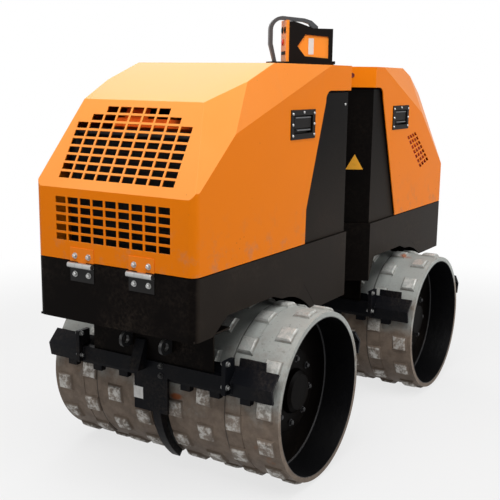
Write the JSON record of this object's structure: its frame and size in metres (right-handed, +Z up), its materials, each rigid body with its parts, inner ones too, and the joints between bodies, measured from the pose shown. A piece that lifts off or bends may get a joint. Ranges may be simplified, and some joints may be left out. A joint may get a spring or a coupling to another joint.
{
  "type": "articulated pad-foot trench roller",
  "caption": "Remote-controlled articulated vibratory trench roller with two faceted orange hoods on wide pad-foot drums.",
  "frame": {"origin": "on the ground at the middle of the machine's length and width", "axes": "+X forward along the machine, +Y to its left, +Z up"},
  "size_m": [1.916, 0.85, 1.4356],
  "materials": {
    "orange_paint": "gloss orange enamel, lightly dusty",
    "black_paint": "satin black enamel, scuffed",
    "cast_metal": "dull cast and painted iron",
    "drum_steel": "worn grey drum enamel over steel",
    "bare_steel": "zinc plated steel",
    "black_plastic": "matt black moulded plastic",
    "orange_plastic": "moulded orange plastic"
  },
  "bodies": {
    "front_frame": {"front_chassis": "black_paint", "front_tower": "black_paint", "engine_block": "cast_metal", "radiator": "cast_metal", "front_drive_case": "black_paint", "front_scraper_bar": "black_paint", "front_inner_scraper": "black_paint", "front_lashing_eyes": "bare_steel", "front_hinge_brackets": "bare_steel", "hitch_ears": "black_paint", "pivot_pin": "bare_steel"},
    "yoke": {"hitch_yoke": "black_paint"},
    "cylinder_barrel": {"steering_barrel": "black_paint"},
    "cylinder_rod": {"steering_rod": "bare_steel"},
    "rear_frame": {"rear_chassis": "black_paint", "rear_tower": "black_paint", "hydraulic_tank": "cast_metal", "rear_drive_case": "black_paint", "rear_scraper_bar": "black_paint", "rear_inner_scraper": "black_paint", "rear_lashing_eyes": "bare_steel", "rear_hinge_brackets": "bare_steel"},
    "front_drums": {"front_drum_left": "drum_steel", "front_drum_right": "drum_steel", "front_axle": "cast_metal"},
    "rear_drums": {"rear_drum_left": "drum_steel", "rear_drum_right": "drum_steel", "rear_axle": "cast_metal"},
    "front_hood": {"front_hood": "orange_paint", "front_grille_upper": "orange_paint", "front_grille_lower": "orange_paint", "front_hood_hinges": "bare_steel", "front_latch_left": "black_plastic", "front_latch_right": "black_plastic", "transmitter_tray": "black_plastic", "transmitter_case": "orange_plastic", "transmitter_frame": "black_plastic", "transmitter_guard": "black_plastic"},
    "rear_hood": {"rear_hood": "orange_paint", "rear_grille": "orange_paint", "rear_louvre_left": "orange_paint", "rear_louvre_right": "orange_paint", "rear_hood_hinges": "bare_steel", "rear_latch_left": "black_plastic", "rear_latch_right": "black_plastic"}
  },
  "joints": [
    {"name": "steering", "type": "hinge", "parent": "front_frame", "child": "yoke", "pos_m": [-0.036, 0, 0.55], "axis": [0, 0, 1], "range_deg": [-30, 30]},
    {"name": "oscillation", "type": "hinge", "parent": "yoke", "child": "rear_frame", "pos_m": [-0.144, 0, 0.55], "axis": [1, 0, 0], "range_deg": [-6, 6]},
    {"name": "cylinder_swing", "type": "hinge", "parent": "front_frame", "child": "cylinder_barrel", "pos_m": [0.254, 0.079, 0.55], "axis": [0, 0, 1], "range_deg": [-1.6, 1.6]},
    {"name": "cylinder_stroke", "type": "slide", "parent": "cylinder_barrel", "child": "cylinder_rod", "axis": [-0.9999, 0.0155, 0], "range_m": [-0.0425, 0.0425]},
    {"name": "front_drum_roll", "type": "hinge", "parent": "front_frame", "child": "front_drums", "pos_m": [0.47, 0, 0.27479], "axis": [0, 1, 0], "continuous": true},
    {"name": "rear_drum_roll", "type": "hinge", "parent": "rear_frame", "child": "rear_drums", "pos_m": [-0.542, 0, 0.27479], "axis": [0, 1, 0], "continuous": true},
    {"name": "front_hood_lift", "type": "hinge", "parent": "front_frame", "child": "front_hood", "pos_m": [0.95, 0, 0.705], "axis": [0, 1, 0], "range_deg": [0, 70]},
    {"name": "rear_hood_lift", "type": "hinge", "parent": "rear_frame", "child": "rear_hood", "pos_m": [-0.95, 0, 0.705], "axis": [0, -1, 0], "range_deg": [0, 70]}
  ],
  "couplings": [
    {"joint": "cylinder_swing", "follows": "steering", "ratio": 0.051},
    {"joint": "cylinder_stroke", "follows": "steering", "m_per_rad": 0.08077}
  ]
}
